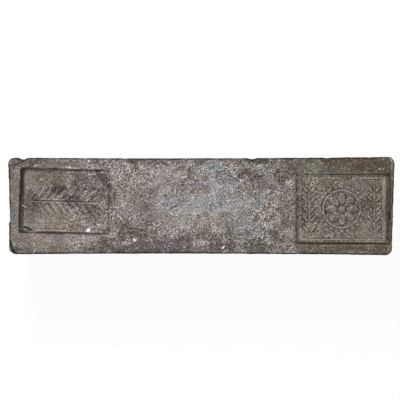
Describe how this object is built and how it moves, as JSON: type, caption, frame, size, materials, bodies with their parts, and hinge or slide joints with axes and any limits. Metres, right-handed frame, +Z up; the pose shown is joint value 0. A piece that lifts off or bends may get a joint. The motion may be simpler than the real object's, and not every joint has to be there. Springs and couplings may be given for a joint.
{
  "type": "tin ingot",
  "caption": "Cast tin ingot: a tapered bar with a slightly sunk poured face and a shallow rectangular die mark near each end, for stacking, display or remelting.",
  "frame": {"origin": "on the floor, under the middle of the ingot's bounding box", "axes": "+X along the ingot, towards the end with the raised ornament; +Y across it, towards the long edge with the two nicks; +Z up, out of the struck face"},
  "size_m": [0.355, 0.0904, 0.064],
  "materials": {
    "weathered_tin": "matte"
  },
  "bodies": {
    "root": {"ingot": "weathered_tin"}
  },
  "joints": []
}
